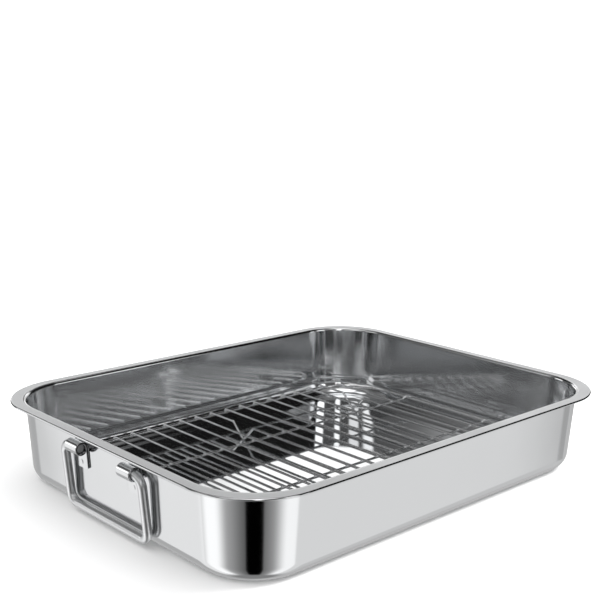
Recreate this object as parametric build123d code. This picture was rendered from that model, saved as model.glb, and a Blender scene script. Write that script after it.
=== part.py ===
from build123d import *
import math
import os

# Roasting pan of drawn stainless sheet, with two drop handles and a lift-out wire rack.
# Millimetres. X runs along the pan's long side, Y along its short side and Z up.
# The origin is at the middle of the base, on the plane that the pan stands on.

# Pan: outside sizes of the rim, height over the rim and the sheet that it is drawn from. The walls'
# corners are centred further in than the rim's, so the flat rim is a little wider at the corners.
rim_length = 400.0
rim_width = 320.0
pan_height = 65.0
rim_corner_radius = 55.0
corner_centre_shift = 4.7
sheet = 0.8
flange_width = 10.5
wall_draft = 4.5
rim_bend_radius = 1.5
floor_bend_radius = 12.0

# Hem: the rim's edge is folded under and closed, with a round nose
hem_width = 4.5
hem_fold_gap = 0.2

# Raised platform that stiffens the floor, with a small S bend all round.
# The margins are the flat rings of floor between the walls' bend and the platform.
platform_end_margin = 23.4
platform_side_margin = 35.4
platform_corner_radius = 18.0
platform_rise = 1.0
step_bend_radius = 1.0

# Handle: a round bar bent to a bail that hangs in two rolled brackets on each short wall, and lies
# back against the wall
bail_diameter = 6.4
bail_leg_spacing = 97.0
bail_ground_clearance = 3.6
bail_wall_gap = 0.5
bail_bend_radius = 7.5
bail_end_chamfer = 0.6
pivot_below_rim = 12.0

# Bracket: a strip rolled round the bar, its tab lying on the wall and spot-welded there
strip_thickness = 1.5
strip_width = 15.0
pivot_clearance = 0.3
bracket_side_play = 0.5
bail_end_recess = 1.5
tab_drop = 12.0
tab_corner_radius = 2.0
roll_end_gap = 0.15
weld_dimple_diameter = 3.6
weld_dimple_depth = 0.2
weld_dimple_below_roll = 7.5

# Rack: its clearances to the foot of the pan's walls, and the wires that it is welded from
rack_end_clearance = 5.5
rack_side_clearance = 17.5
rack_corner_radius = 51.0
rack_rim_wire = 3.2
cross_wire = 2.0
stringer_wire = 2.0
cross_wire_count = 19
first_wire_inset = 27.0
wire_end_reach = 1.0
weld_sink = 0.1

# Stringer ends: cranked up beside the rim so that they lie on top of it
crank_inset = 5.0
crank_run = 5.0
crank_bend_radius = 3.0

# Feet: three of the cross wires are bent down into a V near each end. The margin is from the feet to
# the platform's long edges, and so many plain cross wires lie outside the end feet.
outer_wire_count = 1
foot_edge_margin = 17.0
stringer_to_foot = 20.5
foot_depth = 12.0
foot_mouth = 27.0
foot_toe = 3.0
foot_bend_radius = 2.0
foot_seat_gap = 0.1

# The draft as an angle, and the bends at the wall's top and foot, as insets from the rim's edge
draft = math.radians(wall_draft)
floor_outer_radius = floor_bend_radius + sheet
rim_outer_bend = rim_bend_radius + sheet
rim_bend_inset = flange_width - rim_outer_bend * math.cos(draft)
rim_bend_height = pan_height - rim_outer_bend
wall_drop = rim_bend_height - floor_outer_radius
bends_apart = floor_outer_radius + rim_bend_radius + wall_drop * math.sin(draft)
floor_bend_inset = rim_bend_inset + bends_apart / math.cos(draft)
wall_foot_inset = floor_bend_inset - floor_bend_radius * math.cos(draft)
wall_corner_inset = rim_corner_radius + corner_centre_shift
hem_thickness = 2 * sheet + hem_fold_gap

# Raised platform, worked in from the floor bend
platform_length = rim_length - 2 * (floor_bend_inset + platform_end_margin)
platform_width = rim_width - 2 * (floor_bend_inset + platform_side_margin)
platform_top = platform_rise + sheet

# Outer face of the wall, as inset from the rim's edge and height, where the rim bend ends
wall_top_inset = rim_bend_inset + rim_bend_radius * math.cos(draft)
wall_top_height = rim_bend_height + rim_bend_radius * math.sin(draft)

# Bracket roll and the pivot line of the bail: the roll touches the wall's slope
bar_radius = bail_diameter / 2
pivot_height = pan_height - pivot_below_rim
roll_inner_radius = bar_radius + pivot_clearance
roll_outer_radius = roll_inner_radius + strip_thickness
roll_end_angle = math.degrees(math.acos((strip_thickness + roll_end_gap) / roll_outer_radius - 1))
pivot_slope = (wall_top_height - roll_outer_radius * math.sin(draft) - pivot_height) / math.cos(draft)
seat_inset = wall_top_inset + pivot_slope * math.sin(draft)
seat_height = wall_top_height - pivot_slope * math.cos(draft)
pivot_inset = seat_inset - roll_outer_radius * math.cos(draft)
pivot_x = rim_length / 2 - pivot_inset

# The bail leans in until its foot is a small gap from the wall: over its fall it comes nearer by the
# difference between the roll's seat and that gap
bail_low = bail_ground_clearance + bar_radius
bail_fall = pivot_height - bail_low
bail_approach = roll_outer_radius - bar_radius - bail_wall_gap
bail_slope = bail_approach / bail_fall / math.cos(draft) + math.tan(draft)
bail_low_x = pivot_x - bail_fall * bail_slope

# Places along the bail's axis, worked in from the legs
leg_y = bail_leg_spacing / 2
bracket_outer_y = leg_y - bail_bend_radius - bracket_side_play
bracket_inner_y = bracket_outer_y - strip_width
bail_end_y = bracket_inner_y + bail_end_recess

# Levels of the rack when its feet stand on the platform
cross_z = platform_top + foot_seat_gap + cross_wire / 2 + foot_depth
rack_rim_z = cross_z - cross_wire / 2 - rack_rim_wire / 2 + weld_sink
stringer_z = cross_z - cross_wire / 2 - stringer_wire / 2 + weld_sink
stringer_end_z = rack_rim_z + rack_rim_wire / 2 + stringer_wire / 2 - weld_sink

# Outside sizes of the rack, and the places of its wires along X and Y
rack_length = rim_length - 2 * (wall_foot_inset + rack_end_clearance)
rack_width = rim_width - 2 * (wall_foot_inset + rack_side_clearance)
cross_wire_pitch = (rack_length - 2 * first_wire_inset) / (cross_wire_count - 1)
foot_spacing = platform_width - 2 * foot_edge_margin
stringer_spacing = foot_spacing - foot_mouth - 2 * stringer_to_foot

# Cross wires that carry the feet: one near each end and the middle one
middle_wire = (cross_wire_count + 1) // 2
foot_wires = (outer_wire_count + 1, middle_wire, cross_wire_count - outer_wire_count)

# Centre line of the rack's rim wire
rack_half_length = rack_length / 2 - rack_rim_wire / 2
rack_half_width = rack_width / 2 - rack_rim_wire / 2
rack_corner_x = rack_half_length - rack_corner_radius
rack_corner_y = rack_half_width - rack_corner_radius


def ring(section, corner_x, corner_y):
    """Carries a section round a rounded rectangle: four quarter turns joined by four straight runs.

    The section is drawn with X as the distance out from a corner's centre and Y as the height."""
    upright = Plane.XZ * section
    runs = (2 * corner_y, 2 * corner_x, 2 * corner_y, 2 * corner_x)
    signs = ((1, 1), (-1, 1), (-1, -1), (1, -1))
    pieces = []
    for quarter, ((sign_x, sign_y), run) in enumerate(zip(signs, runs)):
        centre = (sign_x * corner_x, sign_y * corner_y, 0)
        turned = Location(centre, (0, 0, 90 * quarter)) * upright
        backward = Vector(0, -1, 0).rotate(Axis.Z, 90 * quarter)
        pieces.append(revolve(turned, Axis(centre, (0, 0, 1)), 90))
        pieces.append(extrude(turned, run, dir=backward))
    return pieces


def join(pieces):
    """Fuses pieces that meet face to face into one clean solid."""
    return pieces[0].fuse(*pieces[1:]).clean()


def rounded(inset, corner_radius):
    """A rounded rectangle that lies so far in from the rim's edge."""
    return RectangleRounded(rim_length - 2 * inset, rim_width - 2 * inset, corner_radius)


def hem_section():
    """The section through the folded edge, which is pressed flat and has a round nose."""
    nose = hem_thickness / 2
    outer = rim_corner_radius - nose
    inner = rim_corner_radius - hem_width
    low = pan_height - hem_thickness
    outline = [
        CenterArc((outer, pan_height - nose), nose, -90, 180),
        Line((outer, pan_height), (inner, pan_height)),
        Line((inner, pan_height), (inner, low)),
        Line((inner, low), (outer, low)),
    ]
    return make_face(outline)


def wall_section():
    """The sheet's section through the bend under the rim, the wall and the floor bend."""
    bend = wall_corner_inset - rim_bend_inset
    foot = wall_corner_inset - floor_bend_inset
    leaning = 180 - wall_draft
    rim_centre = (bend, rim_bend_height)
    foot_centre = (foot, floor_outer_radius)
    rim_out = CenterArc(rim_centre, rim_outer_bend, 90, 90 - wall_draft)
    rim_in = CenterArc(rim_centre, rim_bend_radius, leaning, wall_draft - 90)
    foot_in = CenterArc(foot_centre, floor_bend_radius, -wall_draft, wall_draft - 90)
    foot_out = CenterArc(foot_centre, floor_outer_radius, -90, 90 - wall_draft)
    outline = [
        Line((bend, pan_height - sheet), (bend, pan_height)),
        rim_out,
        Line(rim_out @ 1, foot_in @ 0),
        foot_in,
        Line((foot, sheet), (foot, 0)),
        foot_out,
        Line(foot_out @ 1, rim_in @ 0),
        rim_in,
    ]
    return make_face(outline)


def step_section(outer, turn):
    """The S bend at the platform's edge, from the floor up to the platform."""
    inner = outer - 2 * step_bend_radius * math.sin(math.radians(turn))
    small = step_bend_radius - sheet / 2
    large = step_bend_radius + sheet / 2
    low = (outer, sheet / 2 + step_bend_radius)
    high = (inner, sheet / 2 + platform_rise - step_bend_radius)
    outline = [
        Line((outer, 0), (outer, sheet)),
        CenterArc(low, small, -90, -turn),
        CenterArc(high, large, 90 - turn, turn),
        Line((inner, platform_top), (inner, platform_rise)),
        CenterArc(high, small, 90, -turn),
        CenterArc(low, large, -90 - turn, turn),
    ]
    return make_face(outline)


def pan_shell():
    """The drawn pan: rim, walls, floor and platform as one sheet."""
    pieces = ring(hem_section(), rim_length / 2 - rim_corner_radius, rim_width / 2 - rim_corner_radius)
    flange = rounded(hem_width, rim_corner_radius - hem_width)
    flange -= rounded(rim_bend_inset, wall_corner_inset - rim_bend_inset)
    pieces.append(extrude(Pos(0, 0, pan_height - sheet) * flange, sheet))
    pieces += ring(wall_section(), rim_length / 2 - wall_corner_inset, rim_width / 2 - wall_corner_inset)
    step_turn = math.degrees(math.acos(1 - platform_rise / (2 * step_bend_radius)))
    step_run = 2 * step_bend_radius * math.sin(math.radians(step_turn))
    step_x = platform_length / 2 - platform_corner_radius
    step_y = platform_width / 2 - platform_corner_radius
    pieces += ring(step_section(platform_corner_radius, step_turn), step_x, step_y)
    floor = rounded(floor_bend_inset, wall_corner_inset - floor_bend_inset)
    floor -= RectangleRounded(platform_length, platform_width, platform_corner_radius)
    pieces.append(extrude(floor, sheet))
    plate_radius = platform_corner_radius - step_run
    plate = RectangleRounded(2 * (step_x + plate_radius), 2 * (step_y + plate_radius), plate_radius)
    pieces.append(extrude(Pos(0, 0, platform_rise) * plate, sheet))
    return join(pieces)


def bracket():
    """Bracket of the right-hand wall, at +Y: tab on the wall, rolled over the bar and back to the tab."""
    out = (math.cos(draft), 0, -math.sin(draft))
    seat = Plane((rim_length / 2 - seat_inset, bracket_outer_y, seat_height), x_dir=out, z_dir=(0, -1, 0))
    centre = (roll_outer_radius, 0)
    tab_end = -roll_outer_radius - tab_drop
    outer_roll = CenterArc(centre, roll_outer_radius, 180, -180 - roll_end_angle)
    inner_roll = CenterArc(centre, roll_inner_radius, -roll_end_angle, 180 + roll_end_angle)
    outline = [
        Line((0, tab_end), (0, 0)),
        outer_roll,
        Line(outer_roll @ 1, inner_roll @ 0),
        inner_roll,
        Line((strip_thickness, 0), (strip_thickness, tab_end)),
        Line((strip_thickness, tab_end), (0, tab_end)),
    ]
    strip = extrude(seat * make_face(outline), strip_width)
    tab_corners = strip.edges().filter_by(Axis(seat.origin, seat.x_dir)).sort_by(Axis.Z)[:2]
    strip = fillet(tab_corners, tab_corner_radius)
    dimple_height = -roll_outer_radius - weld_dimple_below_roll
    face_of_tab = Plane(seat.from_local_coords((strip_thickness, dimple_height, strip_width / 2)), z_dir=out)
    dimple = extrude(face_of_tab * Circle(weld_dimple_diameter / 2), -weld_dimple_depth)
    return strip - dimple


def bail():
    """Bail of the right-hand wall, lying back against the wall below its pivot line."""
    corners = [
        (pivot_x, bail_end_y, pivot_height),
        (pivot_x, leg_y, pivot_height),
        (bail_low_x, leg_y, bail_low),
        (bail_low_x, -leg_y, bail_low),
        (pivot_x, -leg_y, pivot_height),
        (pivot_x, -bail_end_y, pivot_height),
    ]
    path = FilletPolyline(*corners, radius=bail_bend_radius)
    start = Plane(path @ 0, z_dir=path % 0)
    bar = sweep(start * Circle(bar_radius), path=path)
    ends = bar.faces().filter_by(GeomType.PLANE).edges()
    return chamfer(ends, bail_end_chamfer)


def rim_reach(x):
    """How far out along Y the rack's rim wire lies at a place along X, on its centre line."""
    into_corner = max(abs(x) - rack_corner_x, 0)
    return rack_corner_y + math.sqrt(rack_corner_radius**2 - into_corner**2)


def cross_wire_at(number):
    """One cross wire, lying on the rim; the foot wires dip into a V near each end."""
    x = (number - (cross_wire_count + 1) / 2) * cross_wire_pitch
    end = rim_reach(x) + wire_end_reach
    if number in foot_wires:
        half = [
            (x, foot_spacing / 2 - foot_mouth / 2, cross_z),
            (x, foot_spacing / 2 - foot_toe / 2, cross_z - foot_depth),
            (x, foot_spacing / 2 + foot_toe / 2, cross_z - foot_depth),
            (x, foot_spacing / 2 + foot_mouth / 2, cross_z),
            (x, end, cross_z),
        ]
        mirrored = [(px, -py, pz) for px, py, pz in reversed(half)]
        path = FilletPolyline(*mirrored, *half, radius=foot_bend_radius)
    else:
        path = Line((x, -end, cross_z), (x, end, cross_z))
    start = Plane(path @ 0, z_dir=path % 0)
    return sweep(start * Circle(cross_wire / 2), path=path)


def stringer(y):
    """A wire along the rack under the cross wires, its ends cranked up to lie on the rim."""
    end = rack_half_length + wire_end_reach
    high = rack_half_length - crank_inset
    low = high - crank_run
    half = [(low, y, stringer_z), (high, y, stringer_end_z), (end, y, stringer_end_z)]
    mirrored = [(-px, py, pz) for px, py, pz in reversed(half)]
    path = FilletPolyline(*mirrored, *half, radius=crank_bend_radius)
    start = Plane(path @ 0, z_dir=path % 0)
    return sweep(start * Circle(stringer_wire / 2), path=path)


def rack_rim():
    """The rack's closed rim wire."""
    wire = Pos(rack_corner_radius, rack_rim_z) * Circle(rack_rim_wire / 2)
    return join(ring(wire, rack_corner_x, rack_corner_y))


def model():
    """All the pieces by name."""
    nodes = {"pan_shell": pan_shell()}
    back_bracket = bracket()
    front_bracket = mirror(back_bracket, about=Plane.XZ)
    half_turn = Location((0, 0, 0), (0, 0, 180))
    nodes["right_back_bracket"] = back_bracket
    nodes["right_front_bracket"] = front_bracket
    right_bail = bail()
    nodes["right_bail"] = right_bail
    nodes["left_back_bracket"] = half_turn * front_bracket
    nodes["left_front_bracket"] = half_turn * back_bracket
    nodes["left_bail"] = half_turn * right_bail
    nodes["rack_rim"] = rack_rim()
    nodes["rack_front_stringer"] = stringer(-stringer_spacing / 2)
    nodes["rack_back_stringer"] = stringer(stringer_spacing / 2)
    for number in range(1, cross_wire_count + 1):
        kind = "rack_foot_wire_" if number in foot_wires else "rack_cross_wire_"
        nodes[kind + format(number, "02d")] = cross_wire_at(number)
    return nodes


os.makedirs("parts", exist_ok=True)
for name, shape in model().items():
    export_step(shape, "parts/" + name + ".step")
    box = shape.bounding_box()
    print(name, "volume", round(shape.volume, 1), "low", box.min, "high", box.max)
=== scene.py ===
# %% [markdown]
# # A polished steel roasting pan with its wire rack
#
# The pan is one drawn sheet of stainless steel, polished like a mirror, with a folded rim. A handle
# swings at each end in two rolled brackets, and a welded wire rack stands inside on six bent feet.
# Polished steel has hardly a colour of its own, so two things make its look here: surfaces that
# curve as smoothly as the real sheet, and a studio that is worth reflecting.

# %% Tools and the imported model
import math

import bpy
import numpy as np
from mathutils import Matrix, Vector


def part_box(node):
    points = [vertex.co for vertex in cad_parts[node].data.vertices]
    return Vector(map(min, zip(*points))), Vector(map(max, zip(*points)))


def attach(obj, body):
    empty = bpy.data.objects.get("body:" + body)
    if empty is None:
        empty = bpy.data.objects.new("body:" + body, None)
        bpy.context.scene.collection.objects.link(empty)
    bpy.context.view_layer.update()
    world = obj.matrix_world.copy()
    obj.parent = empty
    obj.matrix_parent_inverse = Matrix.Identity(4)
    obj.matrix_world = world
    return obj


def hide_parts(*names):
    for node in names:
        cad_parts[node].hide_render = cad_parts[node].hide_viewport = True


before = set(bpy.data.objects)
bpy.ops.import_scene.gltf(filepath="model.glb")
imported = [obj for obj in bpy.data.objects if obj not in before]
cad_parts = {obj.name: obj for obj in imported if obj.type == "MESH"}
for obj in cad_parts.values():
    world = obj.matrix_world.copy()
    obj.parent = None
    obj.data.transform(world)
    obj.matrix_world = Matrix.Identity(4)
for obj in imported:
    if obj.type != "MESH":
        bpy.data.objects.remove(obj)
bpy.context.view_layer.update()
mm = 0.001

# %% [markdown]
# ## One way to make every surface
#
# Sheet, strip and wire can all be seen as a grid of points with two parameters: one runs round or
# along the piece, the other across it. A subdivided box could be bent by modifiers instead, but on
# a mirror each small fault of the curve shows as a kink in the reflections. So each grid is worked
# out from the true lines and arcs, as whole arrays, and joined by quads.

# %% A grid of points becomes a mesh
def quads(rows, columns, round_columns, round_rows):
    """Corner numbers of the quads between neighbours of a rows x columns grid.

    Point (i, j) has the number i * columns + j; a closed direction wraps its last line to its first."""
    i = np.arange(rows if round_rows else rows - 1)[:, None]
    j = np.arange(columns if round_columns else columns - 1)[None, :]
    i_next = (i + 1) % rows
    j_next = (j + 1) % columns
    corners = (i * columns + j, i * columns + j_next, i_next * columns + j_next, i_next * columns + j)
    return np.stack(np.broadcast_arrays(*corners), axis=-1).reshape(-1, 4)


def enclosed(points, faces):
    """Signed volume inside the quads: a sixth of the sum of a . (b x c) over their triangles."""
    a, b, c, d = (points[faces[:, k]] for k in range(4))
    return (np.einsum("ij,ij", a, np.cross(b, c)) + np.einsum("ij,ij", a, np.cross(c, d))) / 6


def surface(name, grid, round_columns=True, round_rows=False, capped=True, sharp=40, haze=None):
    """A mesh object from a grid of points, its first and last rows closed by flat caps.

    Haze is how matt the polish is on each row; the material reads it as an attribute."""
    rows, columns = grid.shape[:2]
    points = grid.reshape(-1, 3)
    faces = quads(rows, columns, round_columns, round_rows)
    if enclosed(points - points.mean(0), faces) < 0:
        faces = faces[:, ::-1]
    polygons = faces.tolist()
    if capped and not round_rows:
        first = list(range(columns))
        last = [(rows - 1) * columns + k for k in first]
        turn = 1 if faces[0, 1] == faces[0, 0] + 1 else -1
        polygons += [first[::-turn], last[::turn]]
    mesh = bpy.data.meshes.new(name)
    mesh.from_pydata(points.tolist(), [], polygons)
    mesh.shade_smooth()
    mesh.set_sharp_from_angle(angle=math.radians(sharp))
    if haze is not None:
        mesh.attributes.new("haze", "FLOAT", "POINT").data.foreach_set("value", np.repeat(haze, columns))
    piece = bpy.data.objects.new(name, mesh)
    bpy.context.scene.collection.objects.link(piece)
    return piece


# %% Runs, arcs and chains
longest_hold_share = 0.3
same_point = 0.001 * mm


def sampled_line(start, end, hold):
    """Points on a straight run: its ends, and one a short hold inside each end, so that the smooth
    shading of the bend beside it doesn't creep into the flat."""
    start = np.asarray(start, float)
    end = np.asarray(end, float)
    share = min(hold / np.linalg.norm(end - start), longest_hold_share)
    steps = np.array([0, share, 1 - share, 1])
    return start + steps[:, None] * (end - start)


def sampled_arc(centre, radius, first, last, step):
    """Points on an arc between two angles, a step or less apart, all in degrees:
    centre + radius * (cos, sin)."""
    count = max(2, math.ceil(abs(last - first) / step) + 1)
    angle = np.radians(np.linspace(first, last, count))
    return np.asarray(centre) + radius * np.stack([np.cos(angle), np.sin(angle)], axis=1)


def chained(*parts):
    """Runs and arcs laid end to end, with the doubled points at their joints taken out."""
    points = np.vstack(parts)
    gaps = np.linalg.norm(np.diff(points, axis=0), axis=1)
    return points[np.concatenate([[True], gaps > same_point])]


# %% [markdown]
# ## Round a rounded rectangle
#
# The rim, the walls, the floor's platform and the rack's rim wire all follow rounded rectangles. A
# station on one is a heading and a pair of shares: the point lies at the share of the corner's
# centre, plus the radius along the heading. On a corner only the heading turns. On a side only one
# share changes. So one formula carries any section all the way round.

# %% Stations round a rounded rectangle
def stations(per_corner, per_side):
    """Headings in radians and corner shares of the stations, anticlockwise from the +X side."""
    signs = np.array([(1, 1), (-1, 1), (-1, -1), (1, -1)], float)
    turn = np.linspace(0, math.pi / 2, per_corner)
    along = (1 - np.cos(np.linspace(0, math.pi, per_side + 2)[1:-1])) / 2
    headings = []
    shares = []
    for quarter in range(4):
        here = signs[quarter]
        there = signs[(quarter + 1) % 4]
        headings += [quarter * math.pi / 2 + turn, np.full(per_side, (quarter + 1) * math.pi / 2)]
        shares += [np.tile(here, (per_corner, 1)), here + along[:, None] * (there - here)]
    return np.concatenate(headings), np.vstack(shares)


def carried_round(corner, reach, height, per_corner, per_side):
    """Grid of a section carried round: x = corner_x * share_x + reach * cos(heading), y likewise."""
    heading, share = stations(per_corner, per_side)
    corner = np.broadcast_to(corner, (len(reach), 2))
    x = corner[:, 0, None] * share[:, 0] + reach[:, None] * np.cos(heading)
    y = corner[:, 1, None] * share[:, 1] + reach[:, None] * np.sin(heading)
    z = np.broadcast_to(np.asarray(height)[:, None], x.shape)
    return np.stack([x, y, z], axis=-1)


# %% [markdown]
# ## The pan shell
#
# The press draws the sheet into shape over soft radii: a small one under the rim and a larger one
# at the floor. The edge is folded under and pressed flat, so it is round and safe to hold. The
# floor has a low platform that stiffens it. A single surface could be thickened by a Solidify
# modifier, but the folded edge is thicker and ends in a lip of its own. So the section is drawn
# whole, over the inside and back along the outside, at the sheet's real thickness.

# %% Folded edge
pan_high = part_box("pan_shell")[1]
rim_corner = 55 * mm
sheet = 0.8 * mm
hem = 4.5 * mm
hem_thickness = 1.8 * mm
nose_step = 7.5
flat_hold = 0.4 * mm
lip_hold = 0.1 * mm


def hem_section(inside):
    """Reach and height of one face of the folded edge, from its nose inwards; the reach is from the
    centre of the rim's corner."""
    nose = hem_thickness / 2
    centre = (rim_corner - nose, pan_high.z - nose)
    inner = rim_corner - hem
    if inside:
        edge = sampled_arc(centre, nose, 0, 90, nose_step)
        return chained(edge, sampled_line(edge[-1], (inner, pan_high.z), flat_hold))
    edge = sampled_arc(centre, nose, 0, -90, nose_step)
    fold = (inner, pan_high.z - hem_thickness)
    lip = (inner, pan_high.z - sheet)
    return chained(edge, sampled_line(edge[-1], fold, flat_hold), sampled_line(fold, lip, lip_hold))


print("rim", [round(2 * half / mm, 1) for half in pan_high[:2]], "mm")

# %% Wall between its two bends
wall_corner = 59.7 * mm
flange = 10.5 * mm
rim_bend = 1.5 * mm
rim_bend_step = 3
floor_bend = 12 * mm
floor_bend_step = 2.5
draft = math.radians(4.5)

rim_bend_inset = flange - (rim_bend + sheet) * math.cos(draft)
rim_bend_height = pan_high.z - rim_bend - sheet
drop = rim_bend_height - floor_bend - sheet
bends_apart = (floor_bend + sheet + rim_bend + drop * math.sin(draft)) / math.cos(draft)
floor_bend_inset = rim_bend_inset + bends_apart
floor_corner = wall_corner - floor_bend_inset


def wall_section(inside):
    """Reach and height of one face of the rim bend, the wall and the floor bend; the reach is from
    the centre of the walls' corner."""
    lean = math.degrees(draft)
    rim_centre = (wall_corner - rim_bend_inset, rim_bend_height)
    floor_centre = (floor_corner, floor_bend + sheet)
    over_radius = rim_bend + (sheet if inside else 0)
    under_radius = floor_bend + (0 if inside else sheet)
    over = sampled_arc(rim_centre, over_radius, 90, 180 - lean, rim_bend_step)
    under = sampled_arc(floor_centre, under_radius, -lean, -90, floor_bend_step)
    before = over[:1] + np.array([[flat_hold, 0]])
    return chained(before, over, sampled_line(over[-1], under[0], flat_hold), under)


print("flat floor", [round(2 * (half - floor_bend_inset) / mm, 1) for half in pan_high[:2]], "mm")

# %% Step up to the platform
platform_half = (150.12 * mm, 98.12 * mm)
platform_corner = 18 * mm
platform_rise = 1 * mm
step_bend = 1 * mm
step_bend_step = 6


def step_section(level):
    """Reach and height of the S bend up to the platform, on one face of the sheet."""
    turn = math.degrees(math.acos(1 - platform_rise / (2 * step_bend)))
    run = 2 * step_bend * math.sin(math.radians(turn))
    low = (platform_corner, sheet / 2 + step_bend)
    high = (platform_corner - run, sheet / 2 + platform_rise - step_bend)
    to_low = step_bend - (level - sheet / 2)
    to_high = step_bend + (level - sheet / 2)
    rise = sampled_arc(low, to_low, -90, -90 - turn, step_bend_step)
    crest = sampled_arc(high, to_high, 90 - turn, 90, step_bend_step)
    start = np.array([[platform_corner + flat_hold, level]])
    end = np.array([[platform_corner - run - flat_hold, level + platform_rise]])
    return chained(start, rise, crest, end)


print("platform", [round(2 * half / mm, 1) for half in platform_half], "mm")

# %% Rings of both faces
# Haze is how matt the polish is, from the brushed flat of the rim to the floor, the clearest mirror
outside_haze = 0.1
floor_haze = 0.045
wall_haze = 0.085
rim_haze = 0.32
wall_starts_share = 0.3
corner_points = 40
side_points = 16


def shell_rings(inside):
    """Corner centres, reaches, heights and haze of all the rings on one face, from the rim to the
    middle."""
    hem_rings = hem_section(inside)
    step = step_section(sheet if inside else 0)
    wall = np.vstack([wall_section(inside), [(floor_corner - flat_hold, step[0, 1])]])
    half = np.array(pan_high[:2])
    centres = (half - rim_corner, half - wall_corner, np.array(platform_half) - platform_corner)
    parts = (hem_rings, wall, step)
    corners = np.vstack([np.tile(centre, (len(part), 1)) for centre, part in zip(centres, parts)])
    rings = np.vstack(parts)
    haze = np.full(len(rings), outside_haze)
    if inside:
        haze = np.full(len(rings), floor_haze)
        haze[rings[:, 1] > sheet + wall_starts_share * floor_bend] = wall_haze
        haze[: len(hem_rings) + 1] = rim_haze
        haze[rings[:, 0] > rim_corner - hem_thickness / 2] = outside_haze
    return corners, rings[:, 0], rings[:, 1], haze


def make_shell():
    """Inner face from the middle of the platform out to the rim, then the outer face back again."""
    inner = shell_rings(True)
    outer = shell_rings(False)
    corner, reach, height, haze = (np.concatenate([a[::-1], b[1:]]) for a, b in zip(inner, outer))
    grid = carried_round(corner, reach, height, corner_points, side_points)
    return surface("pan_shell_polished", grid, haze=haze)


shell = make_shell()
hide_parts("pan_shell")
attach(shell, "pan")
print("shell", len(shell.data.polygons), "faces")

# %% [markdown]
# ## Bent wire and bar
#
# The handles, the rack's cross wires and its stringers are round bar with a few bends, each in one
# plane. A curve object with a bevel would do, but its rings twist and bunch in tight bends. Here
# the centre line is runs joined by arcs, and a circle is carried along it in a frame that the
# plane of the bends fixes, so the rings never twist.

# %% Centre lines and round bars
def bent_path(corners, radius, step=7.5, hold=0.3 * mm):
    """Points and directions along straight runs joined by arcs of one radius.

    An arc starts radius * tan(turn / 2) before its corner, and its points are
    centre - radius * cos(angle) * inwards + radius * sin(angle) * forwards."""
    corners = np.asarray(corners, float)
    points = [corners[:1]]
    before = (corners[1] - corners[0]) / np.linalg.norm(corners[1] - corners[0])
    directions = [before[None]]
    for here, there in zip(corners[1:-1], corners[2:]):
        after = (there - here) / np.linalg.norm(there - here)
        turn = math.acos(np.clip(before @ after, -1, 1))
        inwards = after - (after @ before) * before
        inwards /= np.linalg.norm(inwards)
        cut = radius * math.tan(turn / 2)
        start = here - before * cut
        angle = np.linspace(0, turn, max(3, math.ceil(math.degrees(turn) / step) + 1))[:, None]
        arc = start + radius * ((1 - np.cos(angle)) * inwards + np.sin(angle) * before)
        points += [(start - before * hold)[None], arc, (arc[-1] + after * hold)[None]]
        directions += [before[None], np.cos(angle) * before + np.sin(angle) * inwards, after[None]]
        before = after
    points.append(corners[-1:])
    directions.append(before[None])
    return np.vstack(points), np.vstack(directions)


def bar_grid(points, directions, across, radius, sides, chamfer):
    """Rings round a centre line: point + radius * (cos(a) * across + sin(a) * direction x across).

    The end rings are drawn in by the chamfer."""
    angle = np.linspace(0, 2 * math.pi, sides, endpoint=False)
    across = np.asarray(across, float)
    up = np.cross(directions, across)
    spread = np.cos(angle)[None, :, None] * across + np.sin(angle)[None, :, None] * up[:, None, :]
    inset_first = points[0] + directions[0] * chamfer
    inset_last = points[-1] - directions[-1] * chamfer
    points = np.vstack([points[:1], inset_first, points[1:-1], inset_last, points[-1:]])
    spread = np.concatenate([spread[:1], spread, spread[-1:]])
    reach = np.full(len(points), radius)
    reach[[0, -1]] -= chamfer
    return points[:, None, :] + reach[:, None, None] * spread


# %% Handles
bail_bar = 6.4 * mm
bail_bend = 7.5 * mm
bail_chamfer = 0.6 * mm
bail_end_y = 27 * mm
bail_sides = 48


def bail_line(node):
    """Places of the pivot line and of the foot's line: distance from the middle along X, and height."""
    low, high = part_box(node)
    outer = max(abs(low.x), abs(high.x)) - bail_bar / 2
    inner = min(abs(low.x), abs(high.x)) + bail_bar / 2
    return np.array([outer, high.z - bail_bar / 2]), np.array([inner, low.z + bail_bar / 2])


def make_bail(node, body):
    """A bar bent to a bail: in from one end, down a leg, across and up again."""
    pivot, foot = bail_line(node)
    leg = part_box(node)[1].y - bail_bar / 2
    sign = -1 if body.startswith("left") else 1
    corners = [(pivot[0], bail_end_y, pivot[1]), (pivot[0], leg, pivot[1]), (foot[0], leg, foot[1])]
    corners += [(x, -y, z) for x, y, z in corners[::-1]]
    down = (foot - pivot) / np.linalg.norm(foot - pivot)
    points, directions = bent_path(np.array(corners) * (sign, 1, 1), bail_bend)
    across = (-down[1], 0, sign * down[0])
    grid = bar_grid(points, directions, across, bail_bar / 2, bail_sides, bail_chamfer)
    piece = surface(node + "_bar", grid)
    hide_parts(node)
    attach(piece, body)
    return piece


bails = [make_bail(side + "_bail", side + "_handle") for side in ("left", "right")]
print("handles", [len(piece.data.polygons) for piece in bails], "faces each")

# %% [markdown]
# ## Brackets
#
# Each bracket is a strip of the same steel. Its tab lies on the wall and is spot-welded there, and
# the rest is rolled right round the bar until its end meets the tab again. Cylinders cut by booleans
# would leave hard seams where the roll leaves the tab. So the strip's section, a rectangle with
# softly broken edges, is carried along that line in one go. The welding electrode leaves a small
# round dent in the tab, which is pressed into the same grid.

# %% Section of the strip
strip = 1.5 * mm
edge_break = 0.25 * mm
edge_step = 15
strip_columns = 61


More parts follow.
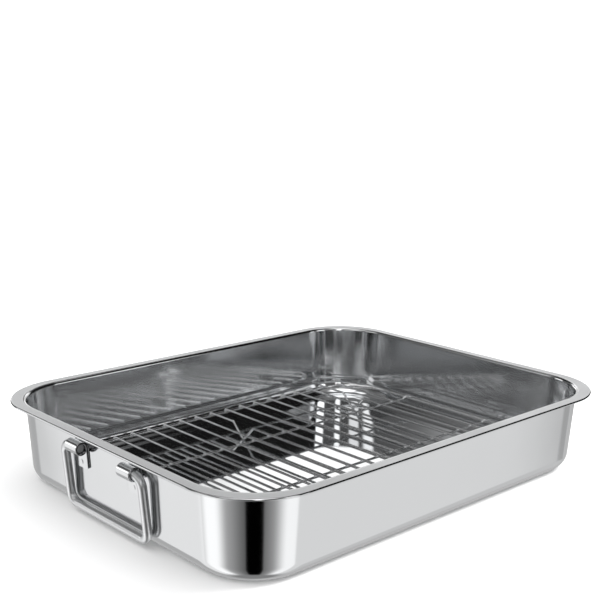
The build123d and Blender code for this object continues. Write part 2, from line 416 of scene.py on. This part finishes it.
def strip_section(width):
    """Across and outward places of the points round the strip, whose edges are quarter rounds."""
    half = width / 2 - edge_break
    flat = np.linspace(-half, half, strip_columns)
    rise = strip / 2
    round_out = sampled_arc((half, rise - edge_break), edge_break, 90, 0, edge_step)
    round_in = sampled_arc((half, edge_break - rise), edge_break, 0, -90, edge_step)
    top = np.stack([flat, np.full_like(flat, rise)], axis=1)
    right = chained(top, round_out, round_in)
    return chained(right, -right)[:-1]


print("strip", round(strip / mm, 2), "mm thick")

# %% Path of the strip
bar_play = 0.3 * mm
tab_drop = 12 * mm
tab_corner = 2 * mm
roll_end_gap = 0.15 * mm
roll_radius = bail_bar / 2 + bar_play + strip / 2
corner_rows = 10
tab_rows = 45
roll_rows = 71


def roll_path():
    """Up the tab, then round the bar: points (away from the wall, along the wall), directions, and
    how far up each row of the tab's rounded end lies."""
    tab_end = -(roll_radius + strip / 2) - tab_drop
    corner = tab_end + tab_corner * (1 - np.cos(np.radians(np.linspace(0, 90, corner_rows))))
    tab = np.concatenate([corner, np.linspace(corner[-1], 0, tab_rows)[1:]])
    roll_end = math.degrees(math.acos((strip + roll_end_gap) / (roll_radius + strip / 2) - 1))
    angle = np.radians(np.linspace(180, -roll_end, roll_rows))
    centre = strip / 2 + roll_radius
    turn = np.stack([centre + roll_radius * np.cos(angle), roll_radius * np.sin(angle)], axis=1)
    straight = np.stack([np.full_like(tab, strip / 2), tab], axis=1)
    points = np.vstack([straight, turn[1:]])
    upward = np.tile((0.0, 1.0), (len(straight), 1))
    along = np.stack([np.sin(angle), -np.cos(angle)], axis=1)[1:]
    return points, np.vstack([upward, along]), corner - tab_end


print("roll", round((2 * roll_radius + strip) / mm, 2), "mm over the strip")

# %% Four brackets
weld_below_roll = 7.5 * mm
weld_radius = 2.0 * mm
weld_depth = 0.2 * mm
weld_edge_power = 1.5
outer_face_share = 0.4


def make_bracket(node, sign):
    """The strip's section carried along its path, on the wall at the end that sign names.

    The dent of the weld is depth * (1 - (distance / radius)^2)^power, on the tab's outer face."""
    low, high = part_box(node)
    pivot = bail_line("left_bail" if sign < 0 else "right_bail")[0]
    path, along, corner_rise = roll_path()
    section = strip_section(high.y - low.y)
    narrowed = np.zeros(len(path))
    narrowed[: len(corner_rise)] = tab_corner - np.sqrt(tab_corner**2 - (tab_corner - corner_rise) ** 2)
    across = section[None, :, 0] * (1 - narrowed[:, None] / section[:, 0].max())
    outward = np.stack([along[:, 1], -along[:, 0]], axis=1)
    place = path[:, None, :] + section[None, :, 1, None] * outward[:, None, :]
    weld = -(roll_radius + strip / 2) - weld_below_roll
    distance = np.hypot(across, place[..., 1] - weld) / weld_radius
    dent = weld_depth * np.clip(1 - distance**2, 0, None) ** weld_edge_power
    dented = (section[None, :, 1] > outer_face_share * strip) & (path[:, None, 1] < 0)
    place[..., 0] -= np.where(dented, dent, 0)
    out = np.array([math.cos(draft), -math.sin(draft)])
    up = np.array([math.sin(draft), math.cos(draft)])
    local = place - np.array([strip / 2 + roll_radius, 0])
    xz = pivot + local[..., :1] * out + local[..., 1:] * up
    y = (low.y + high.y) / 2 + across
    piece = surface(node + "_strip", np.stack([sign * xz[..., 0], y, xz[..., 1]], axis=-1), sharp=50)
    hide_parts(node)
    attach(piece, "pan")
    return piece


brackets = [
    make_bracket(side + "_" + end + "_bracket", sign)
    for side, sign in (("left", -1), ("right", 1))
    for end in ("front", "back")
]
print("brackets", len(brackets), "with", len(brackets[0].data.polygons), "faces each")

# %% [markdown]
# ## The rack
#
# The rack is bright drawn wire: a thick closed rim, two stringers and nineteen cross wires, joined
# by resistance welds where they touch. Three of the cross wires dip into feet. An Array modifier
# could repeat one cross wire, but each wire is a piece of its own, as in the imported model, and takes
# its place and its thickness from there.

# %% Rim of the rack
rack_corner = 51 * mm
rim_wire_step = 15
rack_corner_points = 30
rack_side_points = 2


def finish_wire(piece, *nodes):
    """Puts a rack piece in the place of its node and on the rack's body."""
    if nodes:
        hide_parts(*nodes)
    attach(piece, "rack")
    return piece


def make_rack_rim():
    """A circle carried round the rack's rounded rectangle."""
    low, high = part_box("rack_rim")
    radius = (high.z - low.z) / 2
    ring = sampled_arc((rack_corner - radius, low.z + radius), radius, 0, 360, rim_wire_step)[:-1]
    corner = np.array([high.x, high.y]) - rack_corner
    grid = carried_round(corner, ring[:, 0], ring[:, 1], rack_corner_points, rack_side_points)
    return finish_wire(surface("rack_rim_wire", grid, round_rows=True, capped=False), "rack_rim")


rack_rim = make_rack_rim()
print("rack rim", len(rack_rim.data.polygons), "faces")

# %% Cross wires and feet
foot_mouth = 27 * mm
foot_toe = 3 * mm
foot_bend = 2 * mm
foot_centre_y = 81.12 * mm
wire_chamfer = 0.25 * mm
wire_sides = 20


def make_cross_wire(node):
    """A straight wire across the rack, or one with a V near each end that is a foot."""
    low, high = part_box(node)
    radius = (high.x - low.x) / 2
    x = (high.x + low.x) / 2
    top = high.z - radius
    end = high.y
    half = [(x, end, top)]
    if node.startswith("rack_foot"):
        bottom = low.z + radius
        places = (foot_mouth / 2, foot_toe / 2, -foot_toe / 2, -foot_mouth / 2)
        levels = (top, bottom, bottom, top)
        half += [(x, foot_centre_y + place, level) for place, level in zip(places, levels)]
    corners = half + [(x, -y, z) for x, y, z in half[::-1]]
    points, directions = bent_path(corners, foot_bend)
    grid = bar_grid(points, directions, (1, 0, 0), radius, wire_sides, wire_chamfer)
    return finish_wire(surface(node + "_bright", grid), node)


cross_nodes = sorted(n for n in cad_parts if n.startswith(("rack_cross", "rack_foot")))
cross_wires = [make_cross_wire(node) for node in cross_nodes]
print("cross wires", len(cross_wires))

# %% Stringers
crank_inset = 5 * mm
crank_run = 5 * mm
crank_bend = 3 * mm


def make_stringer(node):
    """A wire along the rack, its ends cranked up to lie on the rim."""
    low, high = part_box(node)
    radius = (high.y - low.y) / 2
    y = (high.y + low.y) / 2
    rim_low, rim_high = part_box("rack_rim")
    rim_line = rim_high.x - (rim_high.z - rim_low.z) / 2
    up = rim_line - crank_inset
    half = [(high.x, y, high.z - radius), (up, y, high.z - radius), (up - crank_run, y, low.z + radius)]
    corners = half + [(-x, y, z) for x, y, z in half[::-1]]
    points, directions = bent_path(corners, crank_bend)
    grid = bar_grid(points, directions, (0, 1, 0), radius, wire_sides, wire_chamfer)
    return finish_wire(surface(node + "_bright", grid), node)


stringers = [make_stringer(node) for node in ("rack_front_stringer", "rack_back_stringer")]
print("stringers", len(stringers))

# %% [markdown]
# ## Weld collars
#
# Where two wires of the rack cross, a press squeezes them together while a current melts the touching
# skins. A thin collar of steel is pushed out round the spot. Joining the wires with a boolean and
# rounding the seam would copy it, but the collar is seen only as a small thickening. So each one is
# a flat lens of a few dozen faces, and all of them are one mesh.

# %% Places of the welds
def rim_line_y(x):
    """Distance of the rim's centre line from the middle: straight, then a quarter circle of the
    corner's radius, centre + sqrt(radius^2 - (x - centre)^2)."""
    low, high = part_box("rack_rim")
    radius = rack_corner - (high.z - low.z) / 2
    past = np.clip(np.abs(x) - (high.x - rack_corner), 0, radius)
    return high.y - rack_corner + np.sqrt(radius**2 - past**2)


def weld_places(cross_nodes):
    """Where the cross wires touch the rim and the stringers, and the stringers' ends the rim."""
    wire_boxes = [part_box(node) for node in cross_nodes]
    x = np.array([(low.x + high.x) / 2 for low, high in wire_boxes])
    low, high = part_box("rack_back_stringer")
    stringer_y = (low.y + high.y) / 2
    rim_low, rim_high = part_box("rack_rim")
    end_x = rim_high.x - (rim_high.z - rim_low.z) / 2
    rows = [np.stack([x, rim_line_y(x)], axis=1), np.stack([x, np.full_like(x, stringer_y)], axis=1)]
    half = np.vstack(rows + [[(end_x, stringer_y), (-end_x, stringer_y)]])
    flat = np.vstack([half, half * (1, -1)])
    return np.column_stack([flat, np.full(len(flat), rim_high.z)])


welds = weld_places(cross_nodes)
print("welds", len(welds))

# %% Collars
collar_reach = 1.7 * mm
collar_rise = 0.55 * mm
collar_cap_angle = 75
collar_rings = 6
collar_sides = 10


def make_collars(places):
    """A flat lens at every weld: centre + (reach cos u cos v, reach cos u sin v, rise sin u)."""
    u = np.radians(np.linspace(-collar_cap_angle, collar_cap_angle, collar_rings))[:, None]
    v = np.linspace(0, 2 * math.pi, collar_sides, endpoint=False)[None, :]
    lens = np.stack(np.broadcast_arrays(np.cos(u) * np.cos(v), np.cos(u) * np.sin(v), np.sin(u)), axis=-1)
    lens = lens.reshape(-1, 3) * (collar_reach, collar_reach, collar_rise)
    around = quads(collar_rings, collar_sides, True, False)
    caps = np.stack([np.arange(collar_sides)[::-1], len(lens) - collar_sides + np.arange(collar_sides)])
    points = (places[:, None, :] + lens).reshape(-1, 3)
    shift = np.arange(len(places))[:, None, None] * len(lens)
    polygons = (around + shift).reshape(-1, 4).tolist() + (caps + shift).reshape(-1, collar_sides).tolist()
    mesh = bpy.data.meshes.new("rack_weld_collars")
    mesh.from_pydata(points.tolist(), [], polygons)
    mesh.shade_smooth()
    piece = bpy.data.objects.new("rack_weld_collars", mesh)
    bpy.context.scene.collection.objects.link(piece)
    return finish_wire(piece)


collars = make_collars(welds)
print("collars", len(collars.data.polygons), "faces in all")

# %% [markdown]
# ## Steel
#
# Stainless steel of the 18/10 kind, polished with finer and finer wheels. Its colour is a light
# neutral grey. What the polish leaves are hairlines too fine to see one by one, so they are a
# roughness, and the press leaves a faint slow unevenness of the sheet. An image of scratches could be
# wrapped on instead, but noise on the object's own coordinates needs no seams.

# %% Colours and nodes
def linear(hex_colour):
    """Linear red, green, blue and alpha of an sRGB hex value: c / 12.92 below 0.04045, otherwise
    ((c + 0.055) / 1.055) to the power 2.4."""
    c = np.array([int(hex_colour[k : k + 2], 16) / 255 for k in (1, 3, 5)])
    c = np.where(c < 0.04045, c / 12.92, ((c + 0.055) / 1.055) ** 2.4)
    return (*c, 1.0)


def add_node(tree, kind, settings=None, inputs=None):
    """One node with its settings, and inputs that are values or other nodes' outputs."""
    node = tree.nodes.new(kind)
    for key, value in (settings or {}).items():
        setattr(node, key, value)
    for key, value in (inputs or {}).items():
        if isinstance(value, bpy.types.NodeSocket):
            tree.links.new(value, node.inputs[key])
        else:
            node.inputs[key].default_value = value
    return node


print("sRGB #808080 is", round(linear("#808080")[0], 3), "in linear light")

# %% Polished steel
# A cloud of the noise is about 0.6 of its unit wide
cloud_share = 0.6
cloud_size = 30 * mm
cloud_detail = 3.0
clearest = 0.7
mattest = 1.35
wave_detail = 1.0


def polished_steel(name, colour, haze, waviness=0.0, wave_length=40 * mm):
    """Polished steel: haze * a share that clouds between the clearest and the mattest, and a surface
    raised by waviness * noise(place / wave_length).

    Haze is one roughness, or None to read it from the mesh's attribute."""
    material = bpy.data.materials.new(name)
    material.use_nodes = True
    tree = material.node_tree
    tree.nodes.clear()
    place = add_node(tree, "ShaderNodeTexCoord").outputs["Object"]
    spread = {"Vector": place, "Scale": cloud_share / cloud_size, "Detail": cloud_detail}
    clouds = add_node(tree, "ShaderNodeTexNoise", inputs=spread)
    limits = {"Value": clouds.outputs["Fac"], "To Min": clearest, "To Max": mattest}
    share = add_node(tree, "ShaderNodeMapRange", inputs=limits)
    if haze is None:
        haze = add_node(tree, "ShaderNodeAttribute", {"attribute_name": "haze"}).outputs["Fac"]
    factors = {0: share.outputs["Result"], 1: haze}
    rough = add_node(tree, "ShaderNodeMath", {"operation": "MULTIPLY"}, factors)
    swell = {"Vector": place, "Scale": 1 / wave_length, "Detail": wave_detail}
    waves = add_node(tree, "ShaderNodeTexNoise", inputs=swell)
    bump = add_node(tree, "ShaderNodeBump", inputs={"Height": waves.outputs["Fac"], "Distance": waviness})
    shader = add_node(
        tree,
        "ShaderNodeBsdfPrincipled",
        inputs={
            "Base Color": linear(colour),
            "Metallic": 1.0,
            "Roughness": rough.outputs[0],
            "Normal": bump.outputs["Normal"],
        },
    )
    add_node(tree, "ShaderNodeOutputMaterial", inputs={"Surface": shader.outputs["BSDF"]})
    return material


# %% The four steels
# Mirror-polished stainless sheet, drawn and then buffed: it shows the room with soft edges, and the
# drawing's waves bend straight lines a little
sheet_steel = polished_steel("mirror_polished_stainless_sheet", "#D4D5D6", None, waviness=0.06 * mm)

# Polished stainless strip, rolled flat and bent cold: a clear mirror with short ripples
strip_steel = polished_steel(
    "polished_stainless_strip", "#D6D7D8", 0.04, waviness=0.01 * mm, wave_length=6 * mm
)

# Stainless bar, bent and then tumbled bright: no image of the room, only broad soft lights along it
bar_steel = polished_steel("polished_stainless_bar", "#DCDDDE", 0.34)

# Bright stainless wire, drawn through a die and cleaned by an acid bath: narrow soft lights
wire_steel = polished_steel("bright_stainless_wire", "#D8D9DA", 0.2)

shell.data.materials.append(sheet_steel)
for piece in bails:
    piece.data.materials.append(bar_steel)
for piece in brackets:
    piece.data.materials.append(strip_steel)
for piece in [rack_rim, collars] + cross_wires + stringers:
    piece.data.materials.append(wire_steel)
print("steels", [steel.name for steel in (sheet_steel, strip_steel, bar_steel, wire_steel)])

# %% [markdown]
# ## The studio
#
# A mirror shows only what stands round it, so the studio is most of this object's look. Lamps and
# white cards could be built as real planes, but then every one of them has to be kept out of the
# picture. Here they are drawn on the sky instead, and only the rays that come off the steel see
# them. The outer walls lean in as they go down, so they look at the table: it is white, brightest
# at the left and in front, with a dark gap where the camera stands. The inside and the rim look up,
# at a dark room with lamps and white cards in it. Everything else sees plain white.

# %% Panels drawn on the sky
# Each panel is its level, the heading and elevation of its middle, its half width and half height,
# and how soft its upright and level edges are. Angles are in degrees, heading 0 is the right end of
# the pan and 90 its back, and later panels lie on top
plain_sky = 0.12
all_round = 181
panels = (
    # Grey ceiling, the lamp in its middle and a card beside that
    (0.3, (0, 62), (all_round, 20), (1, 20)),
    (2.3, (0, 90), (all_round, 16), (1, 8)),
    (2.0, (145, 68), (12, 8), (8, 6)),
    # White table, lighter and darker by heading
    (0.62, (0, -60), (all_round, 52), (1, 14)),
    (0.75, (-22, -60), (18, 52), (14, 14)),
    (0.56, (84, -60), (32, 52), (3, 14)),
    (1.12, (126, -60), (10.6, 52), (1.6, 14)),
    (1.5, (156, -60), (18, 52), (24, 14)),
    (1.37, (-69, -60), (20, 52), (30, 14)),
    (0.5, (-20, -17), (12, 8), (4, 5)),
    (0.97, (-44, -60), (13.6, 52), (5, 14)),
    # Dark gap where the camera stands, and the table's shade under the pan
    (0.12, (-134, -60), (31, 53), (56, 10)),
    (0.0, (-130.5, -60), (14.5, 53), (4, 10)),
    (0.3, (0, -90), (all_round, 20), (1, 14)),
    # Dark walls of the room, at the right and high at the back
    (0.01, (-22, 21), (48, 37), (8, 8)),
    (0.02, (86, 38), (24, 14), (8, 8)),
    # White cards behind the pan, with a gap in one of them
    (1.2, (121, 4), (9, 18), (6, 8)),
    (0.8, (46, 10), (26, 10), (8, 8)),
    (1.5, (38, 21), (15, 4), (8, 5)),
    (1.9, (121, 14), (9, 6), (4, 5)),
    (1.6, (64, 10), (11, 14), (4, 6)),
    (0.08, (59.5, 17.7), (6.5, 2.8), (4, 2)),
    # Small low cards, in front and beside the camera
    (1.7, (-59, 10), (5, 7), (3, 4)),
    (1.0, (-146, 12), (9, 5), (6, 4)),
    # Lamps: a tall one over the camera, then in front, at the left and behind the left end
    (2.2, (-124, 34), (6, 24), (5, 10)),
    (2.4, (-78, 27), (10, 10), (4, 6)),
    (1.5, (-166, 27), (12, 9), (6, 6)),
    (1.9, (155, 26), (14, 5), (12, 6)),
)
print("panels", len(panels))


# %% One panel laid over the light so far
def soft_window(tree, angle, half, soft):
    """A mask that is 1 within the half size and 0 outside, with a smooth edge between them."""
    first = math.radians(half - soft / 2)
    last = math.radians(half + soft / 2)
    ends = {"Value": angle, "From Min": first, "From Max": last, "To Min": 1.0, "To Max": 0.0}
    smooth = {"interpolation_type": "SMOOTHSTEP"}
    return add_node(tree, "ShaderNodeMapRange", smooth, ends).outputs["Result"]


def lay_panel(tree, flat, elevation, light, panel):
    """The light so far with one panel over it: light + mask * (level - light).

    Flat is the view's level direction, so the angle to the panel's middle is arccos(flat . way)."""
    level, (heading, height), half, soft = panel
    way = (math.cos(math.radians(heading)), math.sin(math.radians(heading)), 0)
    near = add_node(tree, "ShaderNodeVectorMath", {"operation": "DOT_PRODUCT"}, {0: flat, 1: way})
    aside = add_node(tree, "ShaderNodeMath", {"operation": "ARCCOSINE"}, {0: near.outputs["Value"]})
    middle = math.radians(height)
    above = add_node(tree, "ShaderNodeMath", {"operation": "SUBTRACT"}, {0: elevation, 1: middle})
    off = add_node(tree, "ShaderNodeMath", {"operation": "ABSOLUTE"}, {0: above.outputs[0]})
    across = soft_window(tree, aside.outputs[0], half[0], soft[0])
    upright = soft_window(tree, off.outputs[0], half[1], soft[1])
    mask = add_node(tree, "ShaderNodeMath", {"operation": "MULTIPLY"}, {0: across, 1: upright})
    mixed = add_node(tree, "ShaderNodeMix", inputs={"Factor": mask.outputs[0], "A": light, "B": level})
    return mixed.outputs["Result"]


# %% Sky
white_level = 1.5


def make_sky():
    """World light: the panels for rays that come off the steel, plain white for all others."""
    world = bpy.data.worlds.new("studio")
    bpy.context.scene.world = world
    world.use_nodes = True
    tree = world.node_tree
    tree.nodes.clear()
    way = add_node(tree, "ShaderNodeTexCoord").outputs["Generated"]
    level_way = add_node(tree, "ShaderNodeVectorMath", {"operation": "MULTIPLY"}, {0: way, 1: (1, 1, 0)})
    unit = add_node(tree, "ShaderNodeVectorMath", {"operation": "NORMALIZE"}, {0: level_way.outputs[0]})
    flat = unit.outputs[0]
    height = add_node(tree, "ShaderNodeSeparateXYZ", inputs={"Vector": way}).outputs["Z"]
    elevation = add_node(tree, "ShaderNodeMath", {"operation": "ARCSINE"}, {0: height}).outputs[0]
    light = plain_sky
    for panel in panels:
        light = lay_panel(tree, flat, elevation, light, panel)
    steel_sky = add_node(tree, "ShaderNodeBackground", inputs={"Strength": light})
    plain = add_node(tree, "ShaderNodeBackground", inputs={"Strength": white_level})
    for background in (steel_sky, plain):
        background.inputs["Color"].default_value = (1, 1, 1, 1)
    off_steel = add_node(tree, "ShaderNodeLightPath").outputs["Is Glossy Ray"]
    skies = {0: off_steel, 1: plain.outputs[0], 2: steel_sky.outputs[0]}
    mix = add_node(tree, "ShaderNodeMixShader", inputs=skies)
    add_node(tree, "ShaderNodeOutputWorld", inputs={"Surface": mix.outputs[0]})


make_sky()
print("white sky of strength", white_level)

# %% [markdown]
# ## The floor
#
# The pan stands on white paper. It could be swept up behind the pan as in a real studio, but the
# sky is as white, so one flat quad is enough. Paper is matt: it scatters nearly all light. The steel
# doesn't see this floor, but the white table drawn on the sky, whose brightness can then be set
# freely. It lies a hair below the pan's base, because two faces in one plane flicker.

# %% Floor
floor_half = 6.0
floor_gap = 0.05 * mm
paper_white = "#F4F4F4"
paper_roughness = 0.9


def make_floor():
    """A square floor round the origin, just under the plane that the pan stands on."""
    signs = ((-1, -1), (1, -1), (1, 1), (-1, 1))
    corners = [(x * floor_half, y * floor_half, -floor_gap) for x, y in signs]
    mesh = bpy.data.meshes.new("floor")
    mesh.from_pydata(corners, [], [(0, 1, 2, 3)])
    floor = bpy.data.objects.new("floor", mesh)
    bpy.context.scene.collection.objects.link(floor)
    material = bpy.data.materials.new("white_paper")
    material.use_nodes = True
    shader = material.node_tree.nodes["Principled BSDF"]
    shader.inputs["Base Color"].default_value = linear(paper_white)
    shader.inputs["Roughness"].default_value = paper_roughness
    mesh.materials.append(material)
    floor.visible_glossy = False
    return floor


print(make_floor().name, 2 * floor_half, "m wide")

# %% [markdown]
# ## The lamp
#
# A plain white sky alone would leave the pan without a shadow side. A large lamp high over the
# right end gives the floor a soft shadow at the left. An area lamp would do, but its light falls off
# with distance; a sun with a wide angle is as soft, and even. The steel doesn't see it either, or a
# hard white disc would show in every curve.

# %% Lamp
lamp_strength = 3.0
lamp_softness = math.radians(24)
lamp_tilt = math.radians(48)
lamp_heading = math.radians(-25)


def make_lamp():
    """A sun tilted from straight down towards the left."""
    data = bpy.data.lights.new("shadow_lamp", "SUN")
    data.energy = lamp_strength
    data.angle = lamp_softness
    lamp = bpy.data.objects.new("shadow_lamp", data)
    lamp.rotation_euler = (0, lamp_tilt, lamp_heading)
    lamp.visible_glossy = False
    bpy.context.scene.collection.objects.link(lamp)
    return lamp


print("lamp", make_lamp().name)

# %% [markdown]
# ## The camera
#
# The pan's straight edges and its two vanishing points fix where the camera stood: about 0.9 m from
# the pan's middle, 0.3 m up, looking slightly down over one corner. A track-to constraint would aim
# a camera, but it can't give the small roll, so the three axes are worked out and set as a matrix.

# %% Camera
sensor_width = 36
focal_pixels = 1079.3
picture_pixels = 600
clip_near = 10 * mm
clip_far = 50
camera_place = (-0.5740, -0.6118, 0.3145)
camera_turn, camera_tilt, camera_roll = (math.radians(angle) for angle in (-42.7, 11.8, 0.7))


def camera_axes():
    """Right, up and back of the camera: back = (sin a cos e, -cos a cos e, sin e) for the heading a
    and the tilt e, and the other two are turned about it by the roll."""
    level_back = math.cos(camera_tilt)
    back = np.array([math.sin(camera_turn) * level_back, -math.cos(camera_turn) * level_back, 0])
    back[2] = math.sin(camera_tilt)
    level = np.cross(-back, (0, 0, 1))
    level /= np.linalg.norm(level)
    upright = np.cross(back, level)
    right = math.cos(camera_roll) * level + math.sin(camera_roll) * upright
    up = math.cos(camera_roll) * upright - math.sin(camera_roll) * level
    return np.stack([right, up, back], axis=1)


def make_camera():
    """The camera, set as the scene's own."""
    data = bpy.data.cameras.new("camera")
    data.sensor_width = sensor_width
    data.lens = sensor_width * focal_pixels / picture_pixels
    data.clip_start = clip_near
    data.clip_end = clip_far
    camera = bpy.data.objects.new("camera", data)
    matrix = np.eye(4)
    matrix[:3, :3] = camera_axes()
    matrix[:3, 3] = camera_place
    camera.matrix_world = Matrix(matrix.tolist())
    bpy.context.scene.collection.objects.link(camera)
    bpy.context.scene.camera = camera
    return camera


bpy.context.scene.view_settings.view_transform = "Standard"
print("camera with a lens of", round(make_camera().data.lens, 1), "mm")
